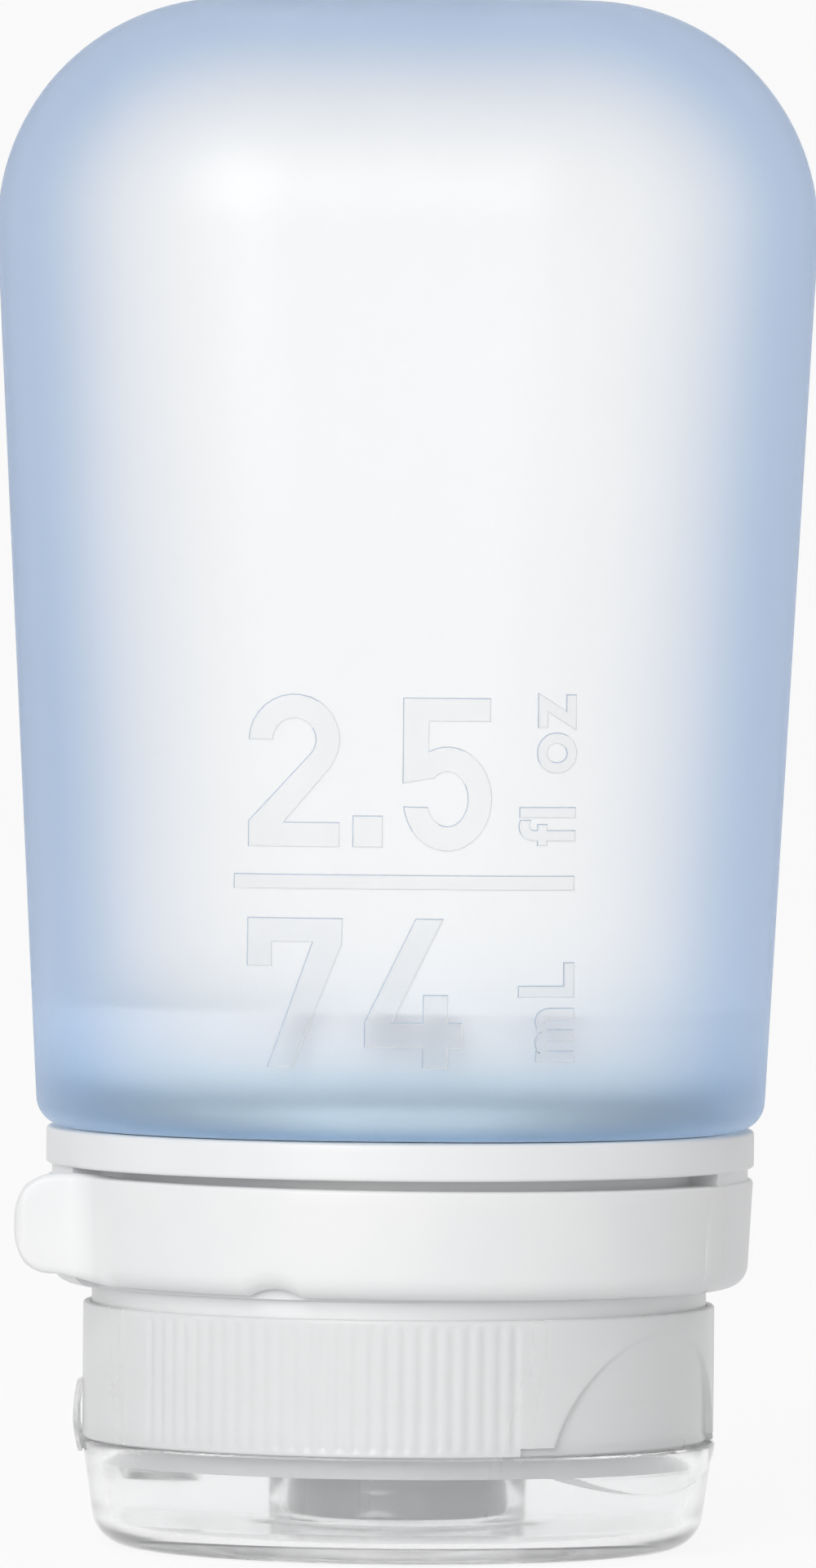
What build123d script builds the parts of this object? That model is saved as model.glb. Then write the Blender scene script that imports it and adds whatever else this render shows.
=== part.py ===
from build123d import *
import math
import os

# A soft squeeze bottle that stands on its flip-top cap. Lengths are in millimetres, angles in degrees.
# The origin is the middle of the face it stands on, +Z points up, and the marked front faces -Y.
# Bearings are counted from the front, to the right.

os.makedirs("parts", exist_ok=True)

# Heights, stacked up from the face that the bottle stands on
lid_height = 6.3
seam_gap = 0.05
skirt_height = 8.0
neck_gap = 0.1
shoulder_height = 1.0
band_height = 6.35
slot_height = 0.7
ring_height = 2.15
body_height = 66.35

# Silicone body: nearly round at its foot, wide and less deep at its closed crown
foot_width = 42.7
foot_depth = 41.0
foot_corner_share = 0.4756
foot_round = 1.8
crown_width = 49.6
crown_depth = 39.4
crown_corner_share = 0.4188
crown_round_share = 0.818
body_wall = 2.0
soft_neck_wall = 2.0
lip_thickness = 1.4
lip_gap = 0.05
soft_fit = 0.05

# Threaded neck
hard_neck_wall = 1.2
shoulder_skirt = 1.05
neck_fit = 0.05

# Thread, one start
thread_pitch = 3.0
thread_depth = 0.7
thread_root_width = 1.0
thread_crest_width = 0.5
thread_clearance = 0.15
thread_sink = 0.12

# Collar and the loop arm on its front
ring_proud = 0.05
ring_round = 0.2
band_foot_inset = 0.26
band_round = 1.35
band_round_most_share = 0.95
band_edge_round = 0.2
waist_wall = 1.85
arm_thickness = 1.7
arm_clearance = 0.3
arm_root_bearing = 64.0
arm_root_gap = 0.3
arm_slope = 0.37
band_return_bearing = 291.0
seat_height = 2.0
groove_depth = 0.3

# Pull tab at the free end of the arm. Its outline seen from the front is in shares of its height,
# inwards from the tip and upwards from its foot: arc, edge, arc and edge
tab_bearing = -62.5
tab_proud = 1.7
tab_thickness = 1.5
tab_blend = 2.0
tab_clearance = 0.2
tab_foot_lift = 0.6
tab_tip_round = 0.65
tab_outline_shares = [
    (0.33, 1.0), (0.096, 0.881), (0, 0.57), (0, 0.474), (0.075, 0.205), (0.285, 0.055), (0.72, 0),
]
nick_bearing = -21.6
nick_width = 3.6
nick_height = 0.45

# Cap base
skirt_radius = 18.6
skirt_wall = 0.85
skirt_round = 0.15
deck_drop = 1.25
deck_thickness = 0.9
ledge_thickness = 0.7
ledge_width = 2.9
counterbore_wall = 0.4
counterbore_clearance = 0.1
guide_height = 0.3
guide_depth = 0.5
guide_above_lip = 0.6
rib_count = 26
rib_pitch = 2.9
rib_depth = 0.2
rib_width = 0.6
rib_start_bearing = -51.0

# Thumb recess, and the lid's lip under it
thumb_bearing = 56.8
thumb_radius = 8.8
thumb_drop = 1.9
thumb_depth = 0.5
thumb_slot = 0.4
thumb_slot_half_turn = 34.0
lip_proud = 0.12
lip_radius = 26.0
lip_height = 2.5

# Nozzle, slit valve and its retainer
nozzle_radius = 6.5
nozzle_wall = 1.3
nozzle_clearance = 0.4
nozzle_tip = 0.7
nozzle_chamfer = 0.3
valve_ledge = 1.6
valve_fit = 0.05
valve_flange_thickness = 0.8
valve_skin = 0.45
valve_dome_clearance = 0.4
valve_dome_depth = 0.55
slit_length = 4.4
slit_width = 0.1
retainer_bore = 3.9
retainer_flange_radius = 6.4
retainer_flange_thickness = 0.6

# Flip lid
lid_foot_inset = 0.89
lid_foot_round = 2.2
lid_floor = 1.2
lid_wall = 1.0
lid_inner_round = 0.9
lid_rim_wall = 1.3
lid_rim_clearance = 0.1
lid_tube_clearance = 0.5
lid_tube_wall = 0.55
lid_tube_gap = 0.2
stop_radius = 2.2
stop_gap = 0.3

# Hinge at the back, opposite the thumb recess
hinge_proud = 0.6
hinge_width = 9.0
hinge_bead = 0.38
hinge_fit = 0.05
leaf_height = 1.2
leaf_gap = 0.08
strap_thickness = 0.25
strap_bow = 0.3
strap_half_turn = 31.0
strap_turn = 13.0
strap_above = 3.3
strap_below = 0.8
strap_gap = 0.1
strap_fit = 0.05

# One length by which every cutting tool runs past what it cuts
overrun = 1.0

# Levels worked out from the stack
seam = lid_height
skirt_foot = seam + seam_gap
skirt_top = skirt_foot + skirt_height
shoulder_foot = skirt_top + neck_gap
band_foot = shoulder_foot + shoulder_height
band_top = band_foot + band_height
ring_foot = band_top + slot_height
ring_top = ring_foot + ring_height
crown = ring_top + body_height
deck_foot = skirt_foot - deck_drop
deck_top = deck_foot + deck_thickness
ledge_top = skirt_foot + ledge_thickness
lip_foot = ledge_top + lip_gap
lip_top = lip_foot + lip_thickness
nozzle_foot = lid_floor + nozzle_clearance
valve_seat = nozzle_foot + nozzle_tip
valve_top = valve_seat + valve_flange_thickness
guide_foot = lip_top + guide_above_lip
counterbore_foot = skirt_top - shoulder_skirt
thread_start = guide_foot + guide_height + thread_clearance / 3 + thread_root_width / 2
thread_rise = counterbore_foot - thread_clearance - thread_root_width / 2 - thread_start
lid_rim_foot = deck_foot - lid_rim_clearance
tab_foot = band_foot + tab_foot_lift
tab_top = ring_foot - tab_clearance
tab_height = tab_top - tab_foot

# Radii worked out from the skirt inwards, and from the neck outwards
counterbore_radius = skirt_radius - counterbore_wall
shoulder_radius = counterbore_radius - counterbore_clearance
skirt_bore = skirt_radius - skirt_wall
male_crest = skirt_bore - thread_clearance
neck_radius = male_crest - thread_depth
female_crest = neck_radius + thread_clearance
neck_bore = neck_radius - hard_neck_wall
soft_neck_radius = neck_bore - soft_fit
mouth_radius = soft_neck_radius - soft_neck_wall
collar_bore = neck_radius + neck_fit
waist_radius = collar_bore + waist_wall
arm_bore = waist_radius + arm_clearance
band_radius = arm_bore + arm_thickness
band_foot_round = min(band_round, (arm_thickness - band_foot_inset) * band_round_most_share)
ring_radius = band_radius + ring_proud
nozzle_bore = nozzle_radius - nozzle_wall
orifice_radius = nozzle_bore - valve_ledge
valve_radius = nozzle_bore - valve_fit
valve_dome_radius = orifice_radius - valve_dome_clearance
lid_rim_bore = skirt_radius - lid_rim_wall
dish_radius = lid_rim_bore - lid_rim_clearance
lid_foot_radius = skirt_radius - lid_foot_inset
lid_tube_radius = nozzle_radius + lid_tube_clearance + lid_tube_wall

# Places of the tab and the hinge, and the body's corner rounds
tab_front = band_radius * math.cos(math.radians(tab_bearing))
tab_reach = band_radius + tab_proud
hinge_reach = skirt_radius + hinge_proud
hinge_bearing = thumb_bearing + 180
foot_corner = foot_corner_share * min(foot_width, foot_depth)
crown_corner = crown_corner_share * min(crown_width, crown_depth)
crown_round = crown_round_share * crown_corner


def turned(bearing):
    # The turn about Z that takes +X to a bearing counted from the front
    return Rot(0, 0, bearing - 90)


def at_bearing(bearing, radius, height):
    angle = math.radians(bearing)
    return Vector(radius * math.sin(angle), -radius * math.cos(angle), height)


def spun(*points):
    # A solid of revolution about Z from an outline in radius and height
    face = make_face(Plane.XZ * Polyline(*points, close=True))
    return revolve(face, Axis.Z)


def tube(outer, inner, foot, top):
    return spun((inner, foot), (outer, foot), (outer, top), (inner, top))


def sector(solid, first_bearing, last_bearing, reach):
    # The share of a solid between two bearings
    span = math.radians(last_bearing - first_bearing)
    steps = 1 + int(math.degrees(span) // 45)
    corners = [
        (2 * reach * math.cos(span * i / steps), 2 * reach * math.sin(span * i / steps))
        for i in range(steps + 1)
    ]
    wedge = extrude(make_face(Polyline((0, 0), *corners, close=True)), amount=crown)
    return solid & (turned(first_bearing) * wedge)


def tapered_box(inset, foot, top, round_top, round_foot):
    # The body's form, drawn in by an inset: two rounded rectangles joined by straight sides
    lower = Pos(0, 0, foot) * RectangleRounded(
        foot_width - 2 * inset, foot_depth - 2 * inset, foot_corner - inset
    )
    upper = Pos(0, 0, top) * RectangleRounded(
        crown_width - 2 * inset, crown_depth - 2 * inset, crown_corner - inset
    )
    form = loft([lower, upper], ruled=True)
    form = fillet(form.faces().sort_by(Axis.Z)[-1].edges(), round_top)
    if round_foot:
        form = fillet(form.faces().sort_by(Axis.Z)[0].edges(), round_foot)
    return form


def make_bottle_body():
    shell = tapered_box(0, ring_top, crown, crown_round, foot_round)
    neck = tube(soft_neck_radius, 0, lip_foot, ring_top + body_wall)
    lip = tube(neck_radius, 0, lip_foot, lip_top)
    hollow = tapered_box(
        body_wall, ring_top + body_wall, crown - body_wall, crown_round - body_wall, 0
    )
    mouth = tube(mouth_radius, 0, lip_foot - overrun, ring_top + body_wall + overrun)
    return shell + neck + lip - hollow - mouth


def thread_ridge(root, crest, turn):
    # A helical ridge on a wall of radius root, sunk a little into the wall
    path = Helix(thread_pitch, thread_rise, root)
    foot = root - math.copysign(thread_sink, crest - root)
    slope = (thread_root_width - thread_crest_width) / thread_depth
    foot_half = (thread_root_width + slope * thread_sink) / 2
    crest_half = thread_crest_width / 2
    outline = Polyline(
        (foot, -foot_half), (crest, -crest_half), (crest, crest_half), (foot, foot_half), close=True
    )
    ridge = sweep(Plane.XZ * make_face(outline), path, is_frenet=True)
    return Pos(0, 0, thread_start) * Rot(0, 0, turn) * ridge


def make_threaded_neck():
    neck = spun(
        (neck_bore, lip_top + soft_fit),
        (neck_radius, lip_top + soft_fit),
        (neck_radius, shoulder_foot - shoulder_skirt + counterbore_clearance),
        (shoulder_radius, shoulder_foot - shoulder_skirt + counterbore_clearance),
        (shoulder_radius, band_foot),
        (neck_radius, band_foot),
        (neck_radius, ring_top - seat_height),
        (neck_bore, ring_top - seat_height),
    )
    return neck + thread_ridge(neck_radius, male_crest, 0)


def band_outline(inner):
    # The band's section: a slight draft, a wide round below and a small one above
    lower = band_radius - band_foot_inset
    corner = 1 - math.sqrt(0.5)
    edges = [
        Line((inner, band_foot), (lower - band_foot_round, band_foot)),
        ThreePointArc(
            (lower - band_foot_round, band_foot),
            (lower - band_foot_round * corner, band_foot + band_foot_round * corner),
            (lower, band_foot + band_foot_round),
        ),
        Line((lower, band_foot + band_foot_round), (band_radius, band_top - band_edge_round)),
        ThreePointArc(
            (band_radius, band_top - band_edge_round),
            (band_radius - band_edge_round * corner, band_top - band_edge_round * corner),
            (band_radius - band_edge_round, band_top),
        ),
        Line((band_radius - band_edge_round, band_top), (inner, band_top)),
        Line((inner, band_top), (inner, band_foot)),
    ]
    return make_face(Plane.XZ * Wire(edges))


def make_neck_collar():
    waist = tube(waist_radius, collar_bore, band_foot, ring_foot)
    ring = tube(ring_radius, collar_bore, ring_foot, ring_top)
    ring = fillet(ring.edges().filter_by(GeomType.CIRCLE).sort_by(SortBy.RADIUS)[-2:], ring_round)
    seat = tube(collar_bore + ring_round, soft_neck_radius + soft_fit, ring_top - seat_height, ring_top)
    band = sector(
        revolve(band_outline(waist_radius - arm_clearance), Axis.Z),
        arm_root_bearing + math.degrees(arm_root_gap / band_radius),
        band_return_bearing,
        ring_radius,
    )
    # The band's back joins the ring through a web, which leaves a groove between them outside
    web = sector(
        tube(band_radius - groove_depth, waist_radius - arm_clearance, band_top - band_edge_round, ring_foot),
        arm_root_bearing + math.degrees(arm_root_gap / band_radius),
        band_return_bearing,
        ring_radius,
    )
    return waist + ring + seat + band + web


def tab_plan():
    # The tab seen from above: a hollow blend from the arm's front into a flat tongue with a round tip
    blend_y = -tab_front - tab_blend
    blend_x = -math.sqrt((band_radius + tab_blend) ** 2 - blend_y**2)
    share = band_radius / (band_radius + tab_blend)
    meet = (blend_x * share, blend_y * share)
    toward = Vector(meet[0] - blend_x, meet[1] - blend_y).normalized() + Vector(0, 1)
    middle = Vector(blend_x, blend_y) + toward.normalized() * tab_blend
    tip_x = -tab_reach + tab_tip_round
    back = -tab_front + tab_thickness
    inner_x = -math.sqrt(arm_bore**2 - back**2)
    edges = [
        ThreePointArc(meet, (middle.X, middle.Y), (blend_x, -tab_front)),
        Line((blend_x, -tab_front), (tip_x, -tab_front)),
        ThreePointArc(
            (tip_x, -tab_front),
            (-tab_reach, -tab_front + tab_thickness / 2),
            (tip_x, back),
        ),
        Line((tip_x, back), (inner_x, back)),
        Line((inner_x, back), meet),
    ]
    return make_face(Wire(edges))


def tab_outline():
    points = [(-tab_reach + u * tab_height, tab_foot + v * tab_height) for u, v in tab_outline_shares]
    edges = [
        ThreePointArc(*points[0:3]),
        Line(points[2], points[3]),
        ThreePointArc(*points[3:6]),
        Line(points[5], points[6]),
        Line(points[6], (0, tab_foot)),
        Line((0, tab_foot), (0, tab_top)),
        Line((0, tab_top), points[0]),
    ]
    return make_face(Plane.XZ * Wire(edges))


def make_loop_arm():
    # The arm rises a little from its root at the right to its free end at the left
    arm = revolve(band_outline(arm_bore), Axis.Z)
    pivot = at_bearing(arm_root_bearing, band_radius, band_top)
    arm = Pos(pivot) * Rot(0, arm_slope, 0) * Pos(-pivot) * arm
    arm = sector(arm, -90, arm_root_bearing, ring_radius)
    behind = Box(2 * ring_radius, 2 * ring_radius, 2 * crown, align=(Align.CENTER, Align.MIN, Align.CENTER))
    arm = arm - Pos(-ring_radius, -tab_front + tab_thickness, 0) * behind
    tongue = Pos(0, 0, band_foot) * extrude(tab_plan(), amount=2 * tab_height)
    tongue = tongue & extrude(tab_outline(), amount=ring_radius)
    # A shallow nick in the lower edge, to start the arm with a nail
    nick_radius = (nick_width**2 / 4 + nick_height**2) / (2 * nick_height)
    nick = Pos(at_bearing(nick_bearing, band_radius, band_foot + nick_height - nick_radius)) * (
        Rot(0, 0, nick_bearing) * Rot(90, 0, 0) * Cylinder(nick_radius, 4 * arm_thickness)
    )
    return arm + tongue - nick


def rib_grooves():
    # Fine upright grooves in the skirt, in two runs that mirror each other across the thumb recess
    inner = skirt_radius - rib_depth
    outer = skirt_radius + overrun
    half = rib_width / 2 * (outer - inner) / rib_depth
    outline = Polyline((inner, 0), (outer, half), (outer, -half), close=True)
    groove = extrude(make_face(outline), amount=skirt_height + 2 * overrun)
    groove = Pos(0, 0, skirt_foot - overrun) * groove
    first = rib_start_bearing
    bearings = [first + rib_pitch * i for i in range(rib_count)]
    bearings += [2 * thumb_bearing - b for b in bearings]
    return [turned(b) * groove for b in bearings]


def thumb_pocket():
    # A round shallow pocket wrapped on the skirt, deepest at the seam
    deep = skirt_radius - thumb_depth
    top = skirt_foot - thumb_drop + thumb_radius
    core = spun(
        (0, -overrun),
        (deep, -overrun),
        (deep, skirt_foot),
        (skirt_radius, top + thumb_depth),
        (0, top + thumb_depth),
    )
    bore = turned(thumb_bearing) * Pos(0, 0, skirt_foot - thumb_drop) * (
        Rot(0, 90, 0)
        * Cylinder(thumb_radius, 2 * skirt_radius, align=(Align.CENTER, Align.CENTER, Align.MIN))
    )
    ledge = sector(
        tube(skirt_radius + overrun, skirt_radius - thumb_depth, skirt_foot - overrun, skirt_foot + thumb_slot),
        thumb_bearing - thumb_slot_half_turn,
        thumb_bearing + thumb_slot_half_turn,
        skirt_radius,
    )
    return (bore - core) + ledge


def hinge_bar(radius):
    # A round bar along the hinge line
    bar = Rot(90, 0, 0) * Cylinder(radius, hinge_width)
    return turned(hinge_bearing) * Pos(hinge_reach, 0, (seam + skirt_foot) / 2) * bar


def hinge_leaf(inner_radius, near, far):
    # A block that reaches from a wall to the hinge line, thinner at its far edge
    slope = hinge_reach - inner_radius
    outline = Polyline(
        (inner_radius, near),
        (hinge_reach, near),
        (hinge_reach, near + (far - near) / 2),
        (inner_radius, far + math.copysign(slope, far - near)),
        close=True,
    )
    leaf = extrude(Plane.XZ * make_face(outline), amount=hinge_width / 2, both=True)
    return turned(hinge_bearing) * leaf


def make_cap_base():
    cap = spun(
        (nozzle_bore, valve_seat),
        (orifice_radius, valve_seat),
        (orifice_radius, nozzle_foot),
        (nozzle_radius - nozzle_chamfer, nozzle_foot),
        (nozzle_radius, nozzle_foot + nozzle_chamfer),
        (nozzle_radius, deck_foot),
        (dish_radius, deck_foot),
        (dish_radius, skirt_foot),
        (skirt_radius, skirt_foot),
        (skirt_radius, skirt_top - skirt_round),
        (skirt_radius - skirt_round, skirt_top),
        (counterbore_radius, skirt_top),
        (counterbore_radius, counterbore_foot),
        (skirt_bore, counterbore_foot),
        (skirt_bore, guide_foot + guide_height),
        (skirt_bore - guide_depth, guide_foot + guide_height / 2),
        (skirt_bore, guide_foot),
        (skirt_bore, ledge_top),
        (skirt_bore - ledge_width, ledge_top),
        (skirt_bore - ledge_width, deck_top),
        (nozzle_bore, deck_top),
    )
    cap = cap + thread_ridge(skirt_bore, female_crest, 180)
    leaf = hinge_leaf(skirt_radius - skirt_wall / 2, skirt_foot + leaf_gap / 2, skirt_foot + leaf_height)
    cap = cap + leaf + hinge_bar(hinge_bead)
    return cap - rib_grooves() - thumb_pocket()


def make_slit_valve():
    dome = spun(
        (0, valve_seat - valve_dome_depth),
        (valve_dome_radius * math.sqrt(0.5), valve_seat - valve_dome_depth),
        (valve_dome_radius, valve_seat),
        (valve_radius, valve_seat),
        (valve_radius, valve_top),
        (valve_dome_radius, valve_top),
        (valve_dome_radius * math.sqrt(0.5), valve_seat - valve_dome_depth + valve_skin),
        (0, valve_seat - valve_dome_depth + valve_skin),
    )
    slit = Pos(0, 0, valve_seat) * Box(slit_length, slit_width, 2 * valve_flange_thickness)
    return dome - slit - Rot(0, 0, 90) * slit


def make_valve_retainer():
    return spun(
        (retainer_bore, valve_top),
        (valve_radius, valve_top),
        (valve_radius, deck_top),
        (retainer_flange_radius, deck_top),
        (retainer_flange_radius, deck_top + retainer_flange_thickness),
        (retainer_bore, deck_top + retainer_flange_thickness),
    )


def lid_wall_radius(height):
    # The lid's outer wall narrows towards the face it stands on
    return lid_foot_radius + lid_foot_inset * height / lid_height


def thumb_lip():
    # The lens-shaped lip that flares from the lid's wall under the thumb recess
    foot = seam - lip_height
    flare = spun(
        (lid_rim_bore, foot),
        (lid_wall_radius(foot) + lip_proud / 3, foot),
        (skirt_radius + lip_proud, seam),
        (lid_rim_bore, seam),
    )
    reach = skirt_radius + lip_proud + overrun
    disc = turned(thumb_bearing) * Pos(0, 0, foot + lip_radius) * (
        Rot(0, 90, 0) * Cylinder(lip_radius, reach, align=(Align.CENTER, Align.CENTER, Align.MIN))
    )
    return flare & disc


def make_flip_lid():
    shell = spun(
        (0, 0),
        (lid_foot_radius, 0),
        (skirt_radius, seam),
        (lid_rim_bore, seam),
        (lid_rim_bore, lid_rim_foot),
        (lid_wall_radius(lid_floor) - lid_wall, lid_floor),
        (0, lid_floor),
    )
    floor_edge = shell.edges().filter_by(GeomType.CIRCLE).group_by(Axis.Z)[1]
    shell = fillet(floor_edge, lid_inner_round)
    foot_edge = shell.edges().filter_by(GeomType.CIRCLE).group_by(Axis.Z)[0]
    shell = fillet(foot_edge, lid_foot_round)
    ring = tube(lid_tube_radius, lid_tube_radius - lid_tube_wall, lid_floor, deck_foot - lid_tube_gap)
    stop = tube(stop_radius, 0, 0, valve_seat - valve_dome_depth - stop_gap) - tube(
        stop_radius, 0, 0, lid_floor
    )
    leaf = hinge_leaf(skirt_radius - lid_rim_wall / 2, seam - leaf_gap / 2, seam - leaf_height)
    lid = shell + ring + stop + thumb_lip() + leaf
    return lid - hinge_bar(hinge_bead + hinge_fit)


def make_hinge_straps():
    # Two thin straps that bow out over the seam, one each side of the hinge
    top = skirt_foot + strap_above
    foot = seam - strap_below
    mid = (top + foot) / 2
    top_radius = skirt_radius + strap_fit
    foot_radius = lid_wall_radius(foot) + strap_gap
    bow = skirt_radius + strap_bow
    outer = ThreePointArc(
        (top_radius + strap_thickness, top), (bow + strap_thickness, mid), (foot_radius + strap_thickness, foot)
    )
    inner = ThreePointArc((foot_radius, foot), (bow, mid), (top_radius, top))
    ends = [
        Line((foot_radius + strap_thickness, foot), (foot_radius, foot)),
        Line((top_radius, top), (top_radius + strap_thickness, top)),
    ]
    face = make_face(Plane.XZ * Wire([outer, ends[0], inner, ends[1]]))
    strap = revolve(face, Axis.Z, revolution_arc=strap_turn)
    return Compound([
        turned(hinge_bearing + side * strap_half_turn - strap_turn / 2) * strap for side in (-1, 1)
    ])


makers = {
    "bottle_body": make_bottle_body,
    "threaded_neck": make_threaded_neck,
    "neck_collar": make_neck_collar,
    "loop_arm": make_loop_arm,
    "cap_base": make_cap_base,
    "slit_valve": make_slit_valve,
    "valve_retainer": make_valve_retainer,
    "flip_lid": make_flip_lid,
    "hinge_straps": make_hinge_straps,
}

for name, make in makers.items():
    export_step(make(), f"parts/{name}.step")
    print(name)

hinge = at_bearing(hinge_bearing, hinge_reach, (seam + skirt_foot) / 2)
root = at_bearing(arm_root_bearing, band_radius, (band_foot + band_top) / 2)
print("lid hinge at", [round(v, 3) for v in hinge], "arm hinge at", [round(v, 3) for v in root])
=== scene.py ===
import bmesh
import bpy
from math import asin, atan, atan2, cos, degrees, hypot, pi, radians, sin, sqrt, tan
from mathutils import Matrix, Vector


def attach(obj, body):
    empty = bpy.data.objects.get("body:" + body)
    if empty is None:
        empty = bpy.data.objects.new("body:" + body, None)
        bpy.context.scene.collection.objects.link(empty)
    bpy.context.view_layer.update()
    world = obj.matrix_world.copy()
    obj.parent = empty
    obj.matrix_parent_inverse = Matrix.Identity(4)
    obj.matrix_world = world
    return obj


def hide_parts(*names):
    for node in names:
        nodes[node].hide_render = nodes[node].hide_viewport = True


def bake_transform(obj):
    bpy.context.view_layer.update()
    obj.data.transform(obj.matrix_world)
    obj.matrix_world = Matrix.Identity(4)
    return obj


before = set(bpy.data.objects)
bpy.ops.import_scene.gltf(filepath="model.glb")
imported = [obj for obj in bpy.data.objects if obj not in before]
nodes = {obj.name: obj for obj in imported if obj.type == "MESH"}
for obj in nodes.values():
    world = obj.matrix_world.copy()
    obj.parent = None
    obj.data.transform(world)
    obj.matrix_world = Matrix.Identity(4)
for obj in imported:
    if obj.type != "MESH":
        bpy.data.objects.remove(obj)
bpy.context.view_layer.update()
print("frame loaded:", len(nodes), "nodes")

mm = 0.001

# Shared shader groups


def feed(node, values):
    # for each input a fixed value, or the socket that feeds it
    for label, value in values.items():
        if isinstance(value, bpy.types.NodeSocket):
            node.id_data.links.new(value, node.inputs[label])
        else:
            node.inputs[label].default_value = value
    return node


def addNode(tree, kind, values, **settings):
    node = tree.nodes.new("ShaderNode" + kind)
    for setting, value in settings.items():
        setattr(node, setting, value)
    return feed(node, values)


def newGroup(name, inputs, outputs):
    group = bpy.data.node_groups.new(name, "ShaderNodeTree")
    for label, value in inputs.items():
        socket = group.interface.new_socket(name=label, in_out="INPUT", socket_type="NodeSocketFloat")
        socket.default_value = value
    for label in outputs:
        group.interface.new_socket(name=label, in_out="OUTPUT", socket_type="NodeSocketFloat")
    return group, group.nodes.new("NodeGroupInput"), group.nodes.new("NodeGroupOutput")


def makeGrainGroup():
    # fine tooth of a blasted mould, and broad cloudy variation
    scales = {"Grain Scale": 3000.0, "Cloud Scale": 90.0}
    group, inlet, outlet = newGroup("blastedGrain", scales, ["Height", "Cloud"])
    place, given = addNode(group, "TexCoord", {}).outputs["Object"], inlet.outputs
    fine = {"Vector": place, "Scale": given["Grain Scale"], "Detail": 3.0, "Roughness": 0.55}
    broad = {"Vector": place, "Scale": given["Cloud Scale"], "Detail": 4.0}
    fine, broad = [addNode(group, "TexNoise", values).outputs["Fac"] for values in (fine, broad)]
    spread = addNode(group, "MapRange", {"Value": broad, "From Min": 0.32, "From Max": 0.68})
    feed(outlet, {"Height": fine, "Cloud": spread.outputs["Result"]})
    return group


def makeFlowGroup():
    # faint flow lines that run up a thin moulded wall from its gate
    group, inlet, outlet = newGroup("flowLines", {"Line Scale": 260.0, "Wander": 2.0}, ["Height", "Streak"])
    place = addNode(group, "TexCoord", {}).outputs["Object"]
    stretch = addNode(group, "Mapping", {"Vector": place, "Scale": (1.0, 1.0, 0.12)}).outputs["Vector"]
    given = inlet.outputs
    noise = {"Vector": stretch, "Scale": given["Line Scale"], "Distortion": given["Wander"], "Detail": 3.0}
    noise = addNode(group, "TexNoise", noise).outputs["Fac"]
    spread = addNode(group, "MapRange", {"Value": noise, "From Min": 0.3, "From Max": 0.7})
    feed(outlet, {"Height": noise, "Streak": spread.outputs["Result"]})
    return group


def makeFadeGroup():
    # a soft change of shade between two levels above the floor, in metres
    group, inlet, outlet = newGroup("levelFade", {"None At": 1.0, "Full At": 0.0}, ["Fade"])
    split = addNode(group, "SeparateXYZ", {"Vector": addNode(group, "TexCoord", {}).outputs["Object"]})
    given = inlet.outputs
    span = {"Value": split.outputs["Z"], "From Min": given["None At"], "From Max": given["Full At"]}
    span = addNode(group, "MapRange", span, interpolation_type="SMOOTHSTEP")
    feed(outlet, {"Fade": span.outputs["Result"]})
    return group


grainGroup = makeGrainGroup()
flowGroup = makeFlowGroup()
fadeGroup = makeFadeGroup()
print("shader groups built")


def placeGroup(tree, group, values):
    return addNode(tree, "Group", values, node_tree=group)


def mixColors(tree, mask, first, second):
    first, second = ((*color, 1) if isinstance(color, tuple) else color for color in (first, second))
    mix = addNode(tree, "Mix", {"A": first, "B": second, "Factor": mask}, data_type="RGBA")
    return [out for out in mix.outputs if out.type == "RGBA"][0]


def edgeMask(tree, none, full):
    # how far the surface turns away from the eye: for the deeper blue of a clear wall seen along its length,
    # and for painted shade at its edges
    facing = addNode(tree, "LayerWeight", {"Blend": 0.5}).outputs["Facing"]
    span = {"Value": facing, "From Min": none, "From Max": full}
    return addNode(tree, "MapRange", span, interpolation_type="SMOOTHSTEP").outputs["Result"]


def mapValue(tree, mask, low, high):
    return addNode(tree, "MapRange", {"Value": mask, "To Min": low, "To Max": high}).outputs["Result"]


def addBump(tree, height, strength, depth):
    values = {"Height": height, "Strength": strength, "Distance": depth}
    return addNode(tree, "Bump", values).outputs["Normal"]


def startMaterial(name):
    material = bpy.data.materials.new(name)
    material.use_nodes = True
    return material, material.node_tree, material.node_tree.nodes["Principled BSDF"]


def startLook(name, look):
    # a material with its grain and its cloudy base shade
    material, tree, shader = startMaterial(name)
    scales = {"Grain Scale": look["grainScale"], "Cloud Scale": look["cloudScale"]}
    grain = placeGroup(tree, grainGroup, scales)
    plain = mixColors(tree, grain.outputs["Cloud"], look["color"], look["cloudColor"])
    return material, tree, shader, grain, plain


def addSurface(tree, shader, look, grain, color):
    # roughness along the flow lines, fine grain as bump, and the clearness
    flow = placeGroup(tree, flowGroup, {"Line Scale": look["flowScale"], "Wander": look["wander"]})
    feed(shader, {
        "Base Color": color, "Roughness": mapValue(tree, flow.outputs["Streak"], *look["roughness"]),
        "Normal": addBump(tree, grain.outputs["Height"], look["grainStrength"], look["grainDepth"]),
        "Transmission Weight": look["clearness"], "IOR": look["ior"],
    })


def makeMoulded(name, look, **changes):
    # a moulded plastic: grain, cloudy shade and flow lines, with its own clearness
    look = {**look, **changes}
    material, tree, shader, grain, plain = startLook(name, look)
    addSurface(tree, shader, look, grain, plain)
    return material


def makePolished(name, color, cloudColor, clearness, roughness, scales):
    # silicone straight from a polished mould
    material, tree, shader = startMaterial(name)
    cloud = placeGroup(tree, grainGroup, dict(zip(("Grain Scale", "Cloud Scale"), scales))).outputs["Cloud"]
    feed(shader, {
        "Base Color": mixColors(tree, cloud, color, cloudColor), "Transmission Weight": clearness,
        "Roughness": mapValue(tree, cloud, *roughness), "IOR": siliconeLook["ior"],
    })
    return material


def dress(nodeName, material):
    for materialSlot in nodes[nodeName].material_slots:
        materialSlot.material = material


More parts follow.
